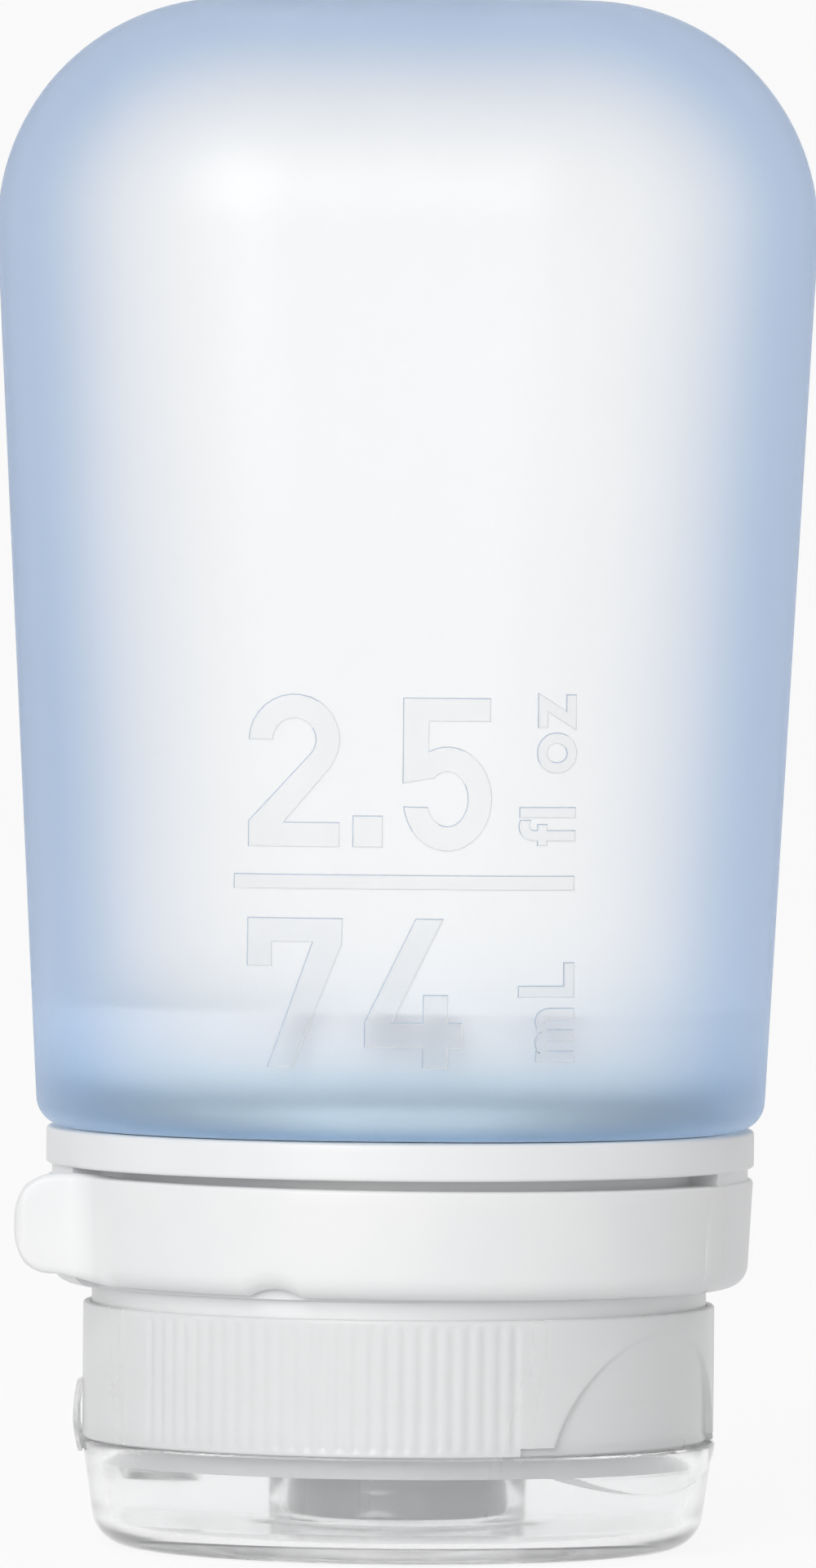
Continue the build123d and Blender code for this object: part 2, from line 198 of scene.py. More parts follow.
# Mesh helpers


def faceOutwards(work):
    # turns each closed shell of a mesh so that its faces look outwards
    bmesh.ops.recalc_face_normals(work, faces=work.faces)
    work.faces.index_update()
    seen = set()
    for first in work.faces:
        if first.index in seen:
            continue
        shell, queue = [], [first]
        seen.add(first.index)
        while queue:
            face = queue.pop()
            shell.append(face)
            for edge in face.edges:
                for other in edge.link_faces:
                    if other.index not in seen:
                        seen.add(other.index)
                        queue.append(other)
        if sum(face.calc_center_median().dot(face.normal) * face.calc_area() for face in shell) < 0:
            bmesh.ops.reverse_faces(work, faces=shell)


def addObject(name, data):
    piece = bpy.data.objects.new(name, data)
    bpy.context.scene.collection.objects.link(piece)
    return piece


def meshObject(name, points, faces, material, smoothAngle=None):
    mesh = bpy.data.meshes.new(name)
    mesh.from_pydata([tuple(c * mm for c in p) for p in points], [], faces)
    mesh.validate()
    piece = addObject(name, mesh)
    work = bmesh.new()
    work.from_mesh(mesh)
    faceOutwards(work)
    for face in work.faces:
        face.smooth = True
    if smoothAngle:
        for edge in work.edges:
            if len(edge.link_faces) == 2 and edge.calc_face_angle(0) > radians(smoothAngle):
                edge.smooth = False
    work.to_mesh(mesh)
    work.free()
    mesh.materials.append(material)
    return piece


def skinRings(rings, closeLoop=False, startPole=None, endPole=None):
    # quads between rings of equal count, with a fan to a pole at either end
    points = [p for ring in rings for p in ring]
    count = len(rings[0])
    faces = []
    last = len(rings) if closeLoop else len(rings) - 1
    for i in range(last):
        a, b = i * count, ((i + 1) % len(rings)) * count
        for j in range(count):
            k = (j + 1) % count
            faces.append((a + j, a + k, b + k, b + j))
    for pole, row in ((startPole, 0), (endPole, len(rings) - 1)):
        if pole is None:
            continue
        points.append(pole)
        for j in range(count):
            faces.append((row * count + j, row * count + (j + 1) % count, len(points) - 1))
    return points, faces


def smoothStep(value, none, full):
    share = max(0, min(1, (value - none) / (full - none)))
    return share * share * (3 - 2 * share)


def aroundAxis(radius, angle, level):
    # the point at an angle that is counted from the front, to the right
    return radius * sin(angle), -radius * cos(angle), level


def turnedRings(profile, bearings):
    # rings round the axis; a profile point is radius and level, and may have a function that draws it inwards
    rings = []
    for radius, level, *draw in profile:
        ring = []
        for bearing in bearings:
            own = radius - (draw[0](bearing, level) if draw else 0)
            ring.append(aroundAxis(own, radians(bearing), level))
        rings.append(ring)
    return rings


def steps(a, b, count):
    return [a + (b - a) * i / count for i in range(count + 1)]


def arcPoints(cx, cy, rx, ry, first, last, count=18):
    angles = [radians(a) for a in steps(first, last, count)]
    return [(cx + rx * cos(a), cy + ry * sin(a)) for a in angles]


def roundCorner(centre, level, radius, first, last, count):
    return arcPoints(centre, level, radius, radius, first, last, count)


def roundedFace(radius, foot, top, edge, count, corner):
    # an upright face, from its rounded lower edge to its rounded upper edge
    face = roundCorner(radius - edge, foot + edge, edge, -90, 0, corner)
    face += [(radius, z) for z in steps(foot + edge, top - edge, count)[1:-1]]
    return face + roundCorner(radius - edge, top - edge, edge, 0, 90, corner)


def pick(table, names):
    # the named values of a dictionary, in order
    return [table[name] for name in names.split()]


def addShell(points, faces, rings):
    # a skin over the rings, closed flat at both ends
    some, quads = skinRings(rings)
    count, last = len(rings[0]), len(some) - len(rings[0])
    quads += [tuple(range(count)), tuple(range(last, last + count))]
    faces += [tuple(len(points) + v for v in quad) for quad in quads]
    points += some


# The silicone body

bottle = {
    "footHalf": (21.35, 20.5), "footCorner": 19.5, "footLevel": 24.7, "footRound": 1.75,
    "crownHalf": (24.8, 19.7), "crownCorner": 16.5, "crownLevel": 91.0, "crownRound": 13.5,
    "wall": 2.0, "innerFootRound": 5.4,
    "neckRadius": 15.65, "boreRadius": 13.65, "lipRadius": 16.9, "lipFoot": 7.1, "lipTop": 8.45,
    "around": 192, "thickBelow": 31.6,
}


def levelSection(z, inset, foot, top, footRound, crownRound):
    # half width, half depth and corner radius of the body at one level, rounds included
    def along(a, b):
        return a + (b - a) * (z - foot) / (top - foot)

    halves = []
    drawnIn = 0
    for low, high in zip(bottle["footHalf"], bottle["crownHalf"]):
        slope = (high - low) / (top - foot)
        lean = atan(slope)
        value = along(low, high) - inset
        start = value
        ends = ((crownRound, top - crownRound, True), (footRound, foot + footRound, False))
        for radius, centre, above in ends:
            touch = centre - radius * sin(lean)
            if (z > touch) if above else (z < touch):
                atCentre = low + slope * (centre - foot) - inset - radius / cos(lean)
                value = atCentre + sqrt(max(0, radius**2 - (z - centre) ** 2))
        halves.append(value)
        drawnIn += (start - value) / 2
    corner = along(bottle["footCorner"], bottle["crownCorner"]) - inset - drawnIn
    return halves[0], halves[1], max(0.4, min(corner, min(halves)))


def sectionRing(halfX, halfY, corner, z):
    # a rounded rectangle, by the ray from its middle
    ring = []
    around = bottle["around"]
    for i in range(around):
        angle = 2 * pi * (i + 0.5) / around
        c, s = abs(cos(angle)), abs(sin(angle))
        cx, cy = halfX - corner, halfY - corner
        if s * halfX <= cy * c:
            reach = halfX / c
        elif c * halfY <= cx * s:
            reach = halfY / s
        else:
            b = c * cx + s * cy
            reach = b + sqrt(max(0, b * b - cx * cx - cy * cy + corner * corner))
        ring.append((reach * cos(angle), reach * sin(angle), z))
    return ring


def circleRing(radius, z):
    return sectionRing(radius, radius, radius, z)


def wallRings(inset, *span):
    foot, top, footRound, crownRound = span
    low, high = foot + footRound, top - crownRound
    levels = [foot + footRound * (1 - cos(radians(a))) for a in range(0, 90, 9)]
    levels += steps(low, high, 26)
    levels += [high + crownRound * sin(radians(a)) for a in range(3, 91, 3)]
    rings = [sectionRing(*levelSection(z, inset, *span), z) for z in levels]
    halfX, halfY, corner = levelSection(top, inset, *span)
    return rings + [sectionRing(halfX * s, halfY * s, corner * s, top) for s in (0.75, 0.5, 0.25)]


def makeBody(material, insideMaterial, thickMaterial):
    lipFoot, lipTop, foot, crown = pick(bottle, "lipFoot lipTop footLevel crownLevel")
    bore, neck, lip, wall = pick(bottle, "boreRadius neckRadius lipRadius wall")
    outline = [
        (bore, lipFoot + 0.15), (bore + 0.15, lipFoot), (lip - 0.3, lipFoot), (lip, lipFoot + 0.3),
        (lip, lipTop - 0.3), (lip - 0.3, lipTop), (neck + 0.25, lipTop), (neck, lipTop + 0.25),
    ]
    outline += [(neck, lipTop + 0.25 + (foot - lipTop - 0.5) * i / 6) for i in range(1, 7)]
    outside = [circleRing(radius, z) for radius, z in outline + [(neck + 0.25, foot)]]
    outside += wallRings(0, foot, crown, bottle["footRound"], bottle["crownRound"])
    floor = foot + wall
    inside = [circleRing(bore, lipFoot + 0.6 + (floor - lipFoot - 1.0) * i / 6) for i in range(7)]
    inside += wallRings(wall, floor, crown - wall, bottle["innerFootRound"], bottle["crownRound"] - wall)
    # one closed skin: down the inside, round the lip, up the outside
    rings = inside[::-1] + outside
    points, faces = skinRings(rings, startPole=(0, 0, crown - wall), endPole=(0, 0, crown))
    body = meshObject("soft_body", points, faces, material)
    body.data.materials.append(insideMaterial)
    body.data.materials.append(thickMaterial)
    around = bottle["around"]
    for face in body.data.polygons:
        levels = [body.data.vertices[v].co.z / mm for v in face.vertices]
        within = min(face.vertices) // around < len(inside) - 1 or len(rings) * around in face.vertices
        low = bottle["thickBelow"] if within else foot - 0.01
        thick = min(levels) < low or max(levels) < foot + 0.01
        face.material_index = 2 if thick else int(within)
    return body


siliconeLook = {
    "color": (0.99, 0.995, 1.0), "cloudColor": (0.98, 0.985, 0.995), "clearness": 0.985, "ior": 1.41,
    # edgeColor: the blue of a wall seen along its length, with painted shade that darkens the silhouettes
    "edgeColor": (0.48, 0.67, 0.98), "edgeNone": 0.03, "edgeFull": 0.54,
    # painted shade: bluer and darker down towards the foot, where the collar keeps light from below off the
    # wall
    "footColor": (0.84, 0.93, 1.0), "footNone": 30.5 * mm, "footFull": 26.0 * mm,
    "neckColor": (0.93, 0.97, 1.0), "neckNone": 24.9 * mm, "neckFull": 24.4 * mm,
    "roughness": (0.4, 0.46), "grainScale": 2600.0, "cloudScale": 60.0, "flowScale": 90.0,
    "grainStrength": 0.2, "grainDepth": 0.04 * mm, "wander": 2.0,
}


def makeSilicone(name, look, **changes):
    # frosted silicone: white where it faces the eye; deeper blue and darker where it turns away, partly the
    # tint of a wall seen along its length and partly painted edge shade; bluer towards the foot in painted
    # shade; paler blue at the neck
    look = {**look, **changes}
    material, tree, shader, grain, plain = startLook(name, look)

    def fade(part, under):
        values = {"None At": look[part + "None"], "Full At": look[part + "Full"]}
        mask = placeGroup(tree, fadeGroup, values).outputs["Fade"]
        return mixColors(tree, mask, under, look[part + "Color"])

    # painted edge shade and tint, by how far the surface turns from the eye
    facing = edgeMask(tree, look["edgeNone"], look["edgeFull"])
    # the foot fade is painted shade towards the foot
    edged = mixColors(tree, facing, fade("foot", plain), look["edgeColor"])
    addSurface(tree, shader, look, grain, fade("neck", edged))
    return material


silicone = makeSilicone("frostedSilicone", siliconeLook)
# the opaque thick silicone takes a paler painted edge shade and painted foot shade
thickSilicone = makeSilicone(
    "thickSilicone", siliconeLook, clearness=0.0, edgeColor=(0.9, 0.96, 1.0),
    footColor=(0.88, 0.96, 1.0), footNone=31.0 * mm, footFull=26.0 * mm,
)
# the glossy inner face
insideSilicone = makePolished(
    "siliconeInside", (1.0, 1.0, 1.0), (0.98, 0.99, 1.0),
    clearness=1.0, roughness=(0.2, 0.28), scales=(400.0, 40.0),
)
softBody = makeBody(silicone, insideSilicone, thickSilicone)
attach(softBody, "bottle")
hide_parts("bottle_body")
print("silicone body built:", len(softBody.data.polygons), "faces")


# Capacity marks, polished on the frosted wall

marks = {
    "proud": 0.08, "sunk": 0.06, "bevel": 0.065, "slice": 0.35, "left": -8.9, "point": -2.87, "five": 0.0,
    "four": -2.1, "footLevel": 29.05, "topLevel": 41.8, "barLeft": -9.7, "barLevel": 39.37,
    "unitsRight": 9.85, "unitsHeight": 4.4, "ouncesLevel": 42.0, "millilitresLevel": 29.3,
}

# outlines in millimetres from each figure's lower left corner
figures = {
    "two": arcPoints(2.61, 6.17, 2.61, 2.61, 180, -40)
    + [(2.0, 1.38), (5.22, 1.38), (5.22, 0), (0, 0), (0, 1.45)]
    + arcPoints(2.61, 6.17, 1.25, 1.25, -40, 180),
    "point": [(0, 0), (1.68, 0), (1.68, 1.78), (0, 1.78)],
    "five": [(0, 8.6), (5.0, 8.6), (5.0, 7.3), (1.46, 7.3), (1.46, 5.51)]
    + arcPoints(2.56, 2.8, 2.55, 3.0, 115, -171, 30)
    + arcPoints(2.56, 2.79, 1.2, 1.6, 198, 490, 24) + [(1.4, 3.95), (0, 3.7)],
    "seven": [(0, 8.6), (5.45, 8.6), (5.42, 7.1), (2.6, 0), (1.2, 0), (3.75, 7.25), (1.38, 7.25),
              (1.38, 5.85), (0, 5.85)],
    "four": [(2.9, 8.6), (0, 2.65), (0, 1.2), (3.37, 1.2), (3.37, 0), (4.78, 0), (4.78, 1.2), (5.6, 1.2),
             (5.6, 2.6), (4.78, 2.6), (4.78, 4.2), (3.37, 4.2), (3.37, 2.6), (1.55, 2.6), (4.47, 8.6)],
    "bar": [(0, 0), (19.6, 0), (19.6, 0.8), (0, 0.8)],
}


def wallFront(x, z):
    halfX, halfY, corner = levelSection(z, 0, *pick(bottle, "footLevel crownLevel footRound crownRound"))
    over = max(0, abs(x) - (halfX - corner))
    return -(halfY - corner) - sqrt(corner**2 - over**2)


def flatShape(name, outlines=None, words=None, height=None):
    # a filled flat shape from outlines, or from plain letters
    if words:
        curve = bpy.data.curves.new(name, "FONT")
        curve.body = words
        curve.size = height
        curve.space_character = 1.12
    else:
        curve = bpy.data.curves.new(name, "CURVE")
        curve.dimensions = "2D"
        curve.fill_mode = "BOTH"
        for outline in outlines:
            spline = curve.splines.new("POLY")
            spline.points.add(len(outline) - 1)
            for point, (u, v) in zip(spline.points, outline):
                point.co = (u, v, 0, 1)
            spline.use_cyclic_u = True
    # half the mark's thickness is its bevel, which the offset keeps inside the outline
    curve.extrude = (marks["proud"] + marks["sunk"]) / 2 - marks["bevel"]
    curve.bevel_depth = marks["bevel"]
    curve.bevel_resolution = 1
    curve.offset = (0.1 if words else 0.0) - marks["bevel"] / 2
    holder = addObject(name, curve)
    bpy.context.view_layer.update()
    mesh = bpy.data.meshes.new_from_object(holder)
    bpy.data.objects.remove(holder)
    return mesh


def wrapMark(name, mesh, place, material):
    # slices the flat shape upright and bends it onto the front wall
    work = bmesh.new()
    work.from_mesh(mesh)
    bmesh.ops.remove_doubles(work, verts=work.verts, dist=0.001)
    faceOutwards(work)
    work.transform(place)
    low = min(v.co.x for v in work.verts)
    high = max(v.co.x for v in work.verts)
    x = low + marks["slice"]
    while x < high:
        everything = work.verts[:] + work.edges[:] + work.faces[:]
        bmesh.ops.bisect_plane(work, geom=everything, plane_co=(x, 0, 0), plane_no=(1, 0, 0))
        x += marks["slice"]
    middle = (marks["proud"] - marks["sunk"]) / 2
    work.normal_update()
    for face in work.faces:
        # painted shade on edges that face up or left, and painted light on those that face down or right
        slope = (face.normal.y - face.normal.x) * 0.707
        if abs(face.normal.z) < 0.95:
            face.material_index = 1 if slope > 0.1 else 2
    for vert in work.verts:
        u, v, out = vert.co
        vert.co = Vector((u, wallFront(u, v) - middle - out, v)) * mm
    faceOutwards(work)
    mesh = bpy.data.meshes.new(name)
    work.to_mesh(mesh)
    work.free()
    for each in (material, markPaintedShade, markPaintedLight):
        mesh.materials.append(each)
    piece = addObject(name, mesh)
    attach(piece, "bottle")


def makeMark(name, color, clearness):
    # the same silicone with the mould's polish
    return makePolished(name, color, tuple(0.985 * c for c in color), clearness, (0.12, 0.2), (500.0, 120.0))


polished = makeMark("polishedMark", (1.0, 1.0, 1.0), 1.0)
# painted shade and painted light: a dark copy and a white copy of the mark silicone for the marks' bevelled
# edges
markPaintedShade = makeMark("markPaintedShade", (0.62, 0.7, 0.82), 0.3)
markPaintedLight = makeMark("markPaintedLight", (1.0, 1.0, 1.0), 0.3)
for figure, x, z in (
    ("two", "left", "topLevel"), ("point", "point", "topLevel"), ("five", "five", "topLevel"),
    ("seven", "left", "footLevel"), ("four", "four", "footLevel"), ("bar", "barLeft", "barLevel"),
):
    name = "mark_" + figure
    wrapMark(name, flatShape(name, [figures[figure]]), Matrix.Translation((marks[x], marks[z], 0)), polished)
for unit, words in (("ounces", "fl oz"), ("millilitres", "mL")):
    name, z = "mark_" + unit, unit + "Level"
    turn = Matrix.Translation((marks["unitsRight"], marks[z], 0)) @ Matrix.Rotation(pi / 2, 4, "Z")
    wrapMark(name, flatShape(name, words=words, height=marks["unitsHeight"]), turn, polished)
print("capacity marks wrapped")


# White collar and loop arm

collarLook = {
    "color": (0.87, 0.875, 0.88), "cloudColor": (0.84, 0.845, 0.855), "clearness": 0.0, "ior": 1.5,
    "roughness": (0.34, 0.42), "grainScale": 2200.0, "cloudScale": 110.0, "flowScale": 160.0,
    "grainStrength": 0.15, "grainDepth": 0.04 * mm, "wander": 0.4,
}
collarPlastic = makeMoulded("collarPlastic", collarLook)
armPlastic = makeMoulded("armPlastic", collarLook, color=(0.88, 0.88, 0.875), roughness=(0.38, 0.46))

arm = {
    "bore": 19.1, "thickness": 1.7, "footLevel": 15.45, "topLevel": 21.8, "draft": 0.26,
    "footRound": 1.35, "topRound": 0.22, "innerRound": 0.12, "rootBearing": 64.0, "slope": 0.37,
    "nickBearing": -21.6, "nickWidth": 3.6, "nickHeight": 0.45,
    "tabFront": -9.604, "tabThickness": 1.5, "blend": 2.0, "tabReach": -22.5, "tipRound": 0.65,
    "tabFoot": 16.05, "tabTop": 22.25, "tabRound": 0.5,
    # shares of the tab's height: where its foot and top start to curve, and the levels they curve to
    "footCurve": 0.285, "footRun": 0.72, "footDip": 0.055, "footEnd": 0.474, "topCurve": 0.33, "topEnd": 0.57,
}


def armStations():
    # pairs of plan points, outer and inner, from the root round the front to the tab's tip
    bore, front, blend, tipRound = pick(arm, "bore tabFront blend tipRound")
    outerRadius = bore + arm["thickness"]
    stations = []
    bearing = arm["rootBearing"]
    blendY = front - blend
    blendX = -sqrt((outerRadius + blend) ** 2 - blendY**2)
    meetBearing = degrees(atan2(blendX, -blendY))
    while bearing > meetBearing:
        angle = radians(bearing)
        stations.append([aroundAxis(radius, angle, 0)[:2] for radius in (outerRadius, bore)])
        bearing -= 0.3 if abs(bearing - arm["nickBearing"]) < 6 else 1.0
    # the hollow blend, then the flat tongue, then its round tip
    back = front + arm["tabThickness"]
    innerEnd = -sqrt(bore**2 - back**2)
    first = atan2(-blendY, -blendX)
    innerFirst = radians(meetBearing)
    innerLast = atan2(innerEnd, -back)
    for angle, turn in zip(steps(first, pi / 2, 12), steps(innerFirst, innerLast, 12)):
        outer = [blendX + blend * cos(angle), blendY + blend * sin(angle)]
        stations.append((outer, aroundAxis(bore, turn, 0)[:2]))
    tipX = arm["tabReach"] + tipRound
    for i in range(1, 13):
        share = i / 12
        outer = [blendX + (tipX - blendX) * share, front]
        stations.append((outer, [innerEnd + (tipX - innerEnd) * share, back]))
    middle, half = (front + back) / 2, arm["tabThickness"] / 2
    for i in range(1, 9):
        angle = radians(85 * i / 8)
        x = tipX - tipRound * sin(angle)
        stations.append(([x, middle - half * cos(angle)], [x, middle + half * cos(angle)]))
    return stations


def armLevels(x, share):
    # foot and top of the strap, which go over smoothly into the tab's rounded outline
    pivot = (arm["bore"] + arm["thickness"]) * sin(radians(arm["rootBearing"]))
    rise = tan(radians(arm["slope"])) * (pivot - x)
    low, high = arm["footLevel"] + rise, arm["topLevel"] + rise
    foot, top = pick(arm, "tabFoot tabTop")
    height = top - foot
    reach = (x - arm["tabReach"]) / height

    def curved(level, end, curve):
        edge = foot + end * height
        share = sqrt(max(0, 1 - ((curve - reach) / curve) ** 2))
        return edge + (level - edge) * share if reach < curve else level

    dip = arm["footDip"] * height * (1 - smoothStep(reach, arm["footCurve"], arm["footRun"]))
    tabLow = curved(foot + dip, arm["footEnd"], arm["footCurve"])
    tabHigh = curved(top, arm["topEnd"], arm["topCurve"])
    return low + (tabLow - low) * share, high + (tabHigh - high) * share


def armSection(outer, inner):
    # one closed section of the strap or tab, between its outer and inner plan points
    x = outer[0]
    share = smoothStep(x, -17.2, -19.9)
    low, high = armLevels(x, share)
    bearing = degrees(atan2(x, -outer[1]))
    along = radians(bearing - arm["nickBearing"]) * (arm["bore"] + arm["thickness"])
    nickRadius = (arm["nickWidth"] ** 2 / 4 + arm["nickHeight"] ** 2) / (2 * arm["nickHeight"])
    if abs(along) < nickRadius:
        low += max(0, sqrt(nickRadius**2 - along**2) - nickRadius + arm["nickHeight"])
    thick = hypot(x - inner[0], outer[1] - inner[1])
    thickness = min(thick, arm["thickness"] + (arm["tabThickness"] - arm["thickness"]) * share)
    draft = arm["draft"] * (1 - share)
    limit = 0.49 * min(thickness, high - low)

    def rounded(strap):
        return max(0.004, min(strap + (arm["tabRound"] - strap) * share, limit))

    footRound = rounded(arm["footRound"]) if share > 0 else arm["footRound"]
    topRound, innerRound = rounded(arm["topRound"]), rounded(arm["innerRound"])
    corners = (
        (innerRound, low + innerRound, innerRound, 180, 270, 4),
        (thickness - draft - footRound, low + footRound, footRound, 270, 360, 9),
        (thickness - topRound, high - topRound, topRound, 0, 90, 5),
        (innerRound, high - innerRound, innerRound, 90, 180, 4),
    )
    section = []
    for corner in corners:
        section += roundCorner(*corner)
        if corner[3] == 270:
            # the drafted front face, in level steps
            (x0, z0), (x1, z1) = section[-1], (thickness, high - topRound)
            section += [(x0 + (x1 - x0) * i / 6, z0 + (z1 - z0) * i / 6) for i in range(1, 6)]
    points = []
    for depth, level in section:
        # counted from the outer face inwards, so that the front stays true where the tongue is thin
        inward = (thickness - depth) / thick if thick > 1e-6 else 0
        x, y = (o + (i - o) * inward for o, i in zip(outer, inner))
        points.append((x, y, level))
    return points


def makeArm(material):
    points, faces = [], []
    addShell(points, faces, [armSection(outer, inner) for outer, inner in armStations()])
    return meshObject("loop_arm_strap", points, faces, material, smoothAngle=60)


collar = {
    "bore": 16.95, "waistRadius": 18.8, "foot": 15.45, "ringFoot": 22.5, "ringTop": 24.65,
    "ringRadius": 20.85, "ringRound": 0.2, "seatRadius": 15.7, "seatFoot": 22.65,
    "bandInner": 18.5, "bandFirst": 64.83, "bandLast": 291.0, "groove": 0.3,
}


def makeCollar(material):
    # the waist and its top ring, and the band round the back that the arm carries on from
    ring, edge, bore, waist = pick(collar, "ringRadius ringRound bore waistRadius")
    foot, ringFoot, ringTop, seat, seatFoot = pick(collar, "foot ringFoot ringTop seatRadius seatFoot")
    profile = [(bore, foot), (waist, foot), (waist, ringFoot)]
    profile += roundedFace(ring, ringFoot, ringTop, edge, 5, 4)
    profile += [(seat + 0.15, ringTop), (seat, ringTop - 0.15), (seat, seatFoot), (bore, seatFoot)]
    points, faces = skinRings(turnedRings(profile, [1.2 * i for i in range(300)]), closeLoop=True)
    radius = arm["bore"] + arm["thickness"]
    draft, foot, top, footRound, topRound = pick(arm, "draft footLevel topLevel footRound topRound")
    lower, inner, groove = radius - draft, collar["bandInner"], radius - collar["groove"]
    section = [(inner, foot)] + roundCorner(lower - footRound, foot + footRound, footRound, -90, 0, 9)
    rise = top - topRound - foot - footRound
    section += [(lower + draft * s, foot + footRound + rise * s) for s in (0.2, 0.4, 0.6, 0.8)]
    section += roundCorner(radius - topRound, top - topRound, topRound, 0, 90, 4)
    section += [(groove, top), (groove, ringFoot + 0.05), (inner, ringFoot + 0.05)]
    bearings = steps(collar["bandFirst"], collar["bandLast"], 190)
    addShell(points, faces, [[aroundAxis(r, radians(b), z) for r, z in section] for b in bearings])
    return meshObject("collar_ring_and_band", points, faces, material, smoothAngle=48)


collarPiece = makeCollar(collarPlastic)
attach(collarPiece, "bottle")
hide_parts("neck_collar")

armPiece = makeArm(armPlastic)
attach(armPiece, "loop")
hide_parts("loop_arm")

armHinge = {
    "bearing": 64.0, "radius": 20.8, "thickness": 0.28, "proud": 0.02, "reach": 2.6,
    "foot": 15.7, "top": 21.76, "middle": 18.6, "across": 20,
}


def makeArmHinge(material):
    # the thin living hinge that joins the arm's root to the collar, wrapped on the band's drafted face
    rings = []
    across, proud, thickness = pick(armHinge, "across proud thickness")
    draft, footRound, foot, top = pick(arm, "draft footRound footLevel topLevel")
    for z in steps(armHinge["foot"], armHinge["top"], 24):
        face = armHinge["radius"] - draft * (top - z) / (top - foot)
        below = foot + footRound - z
        if below > 0:
            face -= footRound - sqrt(footRound**2 - below**2)
        spread = armHinge["reach"] / armHinge["radius"]
        ring = []
        for side in (1, -1):
            for j in range(across + 1):
                off = j / across - 0.5
                lift = proud - (proud + 0.04) * (2 * abs(off)) ** 4
                radius = face + lift if side == 1 else face - thickness * (1 - (2 * abs(off)) ** 2) - 0.01
                ring.append(aroundAxis(radius, radians(armHinge["bearing"]) + side * spread * off, z))
        rings.append(ring)
    points, faces = [], []
    addShell(points, faces, rings)
    return meshObject("arm_hinge", points, faces, material, smoothAngle=60)


armHingePiece = makeArmHinge(armPlastic)
rootAngle = radians(armHinge["bearing"])
root = Vector(aroundAxis(1, rootAngle, 0)) * armHinge["radius"] * mm
root += Vector((0, 0, armHinge["middle"] * mm))
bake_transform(armHingePiece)
print("collar and arm dressed")


# Translucent neck, cap and lid

thread = {"start": 9.95, "pitch": 3.0, "rise": 2.7, "depth": 0.7, "root": 1.0, "crest": 0.5}


def threadDraw(startTurn, sign):
    # one turn of thread with short run-outs, drawn inwards from a wall where the sign is plus
    def draw(bearing, level):
        rise = ((bearing - 90 - startTurn) % 360) / 360 * thread["pitch"]
        if rise > thread["rise"]:
            return 0
        half, slope = thread["root"] / 2 + 0.05, (thread["root"] - thread["crest"]) / 2 + 0.1
        ridge = smoothStep(abs(level - thread["start"] - rise), half, half - slope)
        ends = smoothStep(rise, 0, 0.15) * smoothStep(rise, thread["rise"], thread["rise"] - 0.15)
        return sign * thread["depth"] * ridge * ends

    return draw


neckLook = {
    "color": (0.985, 0.988, 0.99), "cloudColor": (0.97, 0.975, 0.98), "clearness": 0.12, "ior": 1.49,
    "roughness": (0.3, 0.36), "grainScale": 1800.0, "cloudScale": 150.0, "flowScale": 200.0,
    "grainStrength": 0.08, "grainDepth": 0.02 * mm, "wander": 0.4,
}
lidLook = {
    **neckLook, "color": (0.996, 0.998, 1.0), "cloudColor": (0.985, 0.99, 0.995), "clearness": 0.97,
    "roughness": (0.04, 0.1), "grainStrength": 0.05,
}

neck = {
    "bore": 15.7, "radius": 16.9, "foot": 8.55, "top": 22.65, "edgeRound": 0.15,
    "shoulderRadius": 18.1, "shoulderFoot": 13.5, "shoulderTop": 15.45,
}


def makeNeck(material):
    radius, shoulder, edge, bore, foot, top = pick(neck, "radius shoulderRadius edgeRound bore foot top")
    shoulderFoot, shoulderTop = pick(neck, "shoulderFoot shoulderTop")
    maleThread = threadDraw(0, -1)
    profile = [(bore, foot + 0.1), (bore + 0.1, foot), (radius - 0.1, foot), (radius, foot + 0.1)]
    profile += [(radius, z, maleThread) for z in steps(foot + 0.1, shoulderFoot - 0.1, 40)[1:]]
    profile += [(radius, shoulderFoot)] + roundedFace(shoulder, shoulderFoot, shoulderTop, edge, 5, 3)
    profile += [(radius, shoulderTop), (radius, top), (bore, top), (bore, 18.0), (bore, 13.0)]
    points, faces = skinRings(turnedRings(profile, [0.9 * i for i in range(400)]), closeLoop=True)
    return meshObject("neck_and_thread", points, faces, material, smoothAngle=48)


neckPiece = makeNeck(makeMoulded("neckPlastic", neckLook))
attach(neckPiece, "bottle")
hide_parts("threaded_neck")

cap = {
    "skirtRadius": 18.6, "foot": 6.35, "top": 14.35, "edgeRound": 0.15, "bore": 17.75,
    "counterbore": 18.2, "counterboreFoot": 13.3, "guideFoot": 9.1, "guideHeight": 0.3, "guideDepth": 0.5,
    "ledgeTop": 7.05, "ledgeRadius": 14.85, "deckTop": 6.0, "deckFoot": 5.1, "dishRadius": 17.2,
    "nozzleRadius": 6.5, "nozzleBore": 5.2, "orifice": 3.6, "nozzleFoot": 1.6, "valveSeat": 2.3,
    "ribPitch": 2.9, "ribCount": 26, "firstRib": -51.0, "ribDepth": 0.1, "ribWidth": 0.86,
    "thumbBearing": 56.8, "thumbRadius": 8.8, "thumbLevel": 4.45, "thumbDepth": 0.5, "thumbEdge": 0.22,
    "slotHeight": 0.4, "slotHalfTurn": 34.0,
}
hinge = {"reach": 19.2, "level": 6.325, "halfWidth": 4.5, "bead": 0.38, "beadFit": 0.05, "slices": 6}


def addHingePart(points, faces, outline):
    # an outline in radius and level, drawn out along the hinge line at the back
    angle = radians(cap["thumbBearing"] + 180)
    out, along = (sin(angle), -cos(angle)), (cos(angle), sin(angle))
    rings = []
    for i in range(hinge["slices"] + 1):
        side = hinge["halfWidth"] * (2 * i / hinge["slices"] - 1)
        rings.append([(out[0] * r + along[0] * side, out[1] * r + along[1] * side, z) for r, z in outline])
    addShell(points, faces, rings)


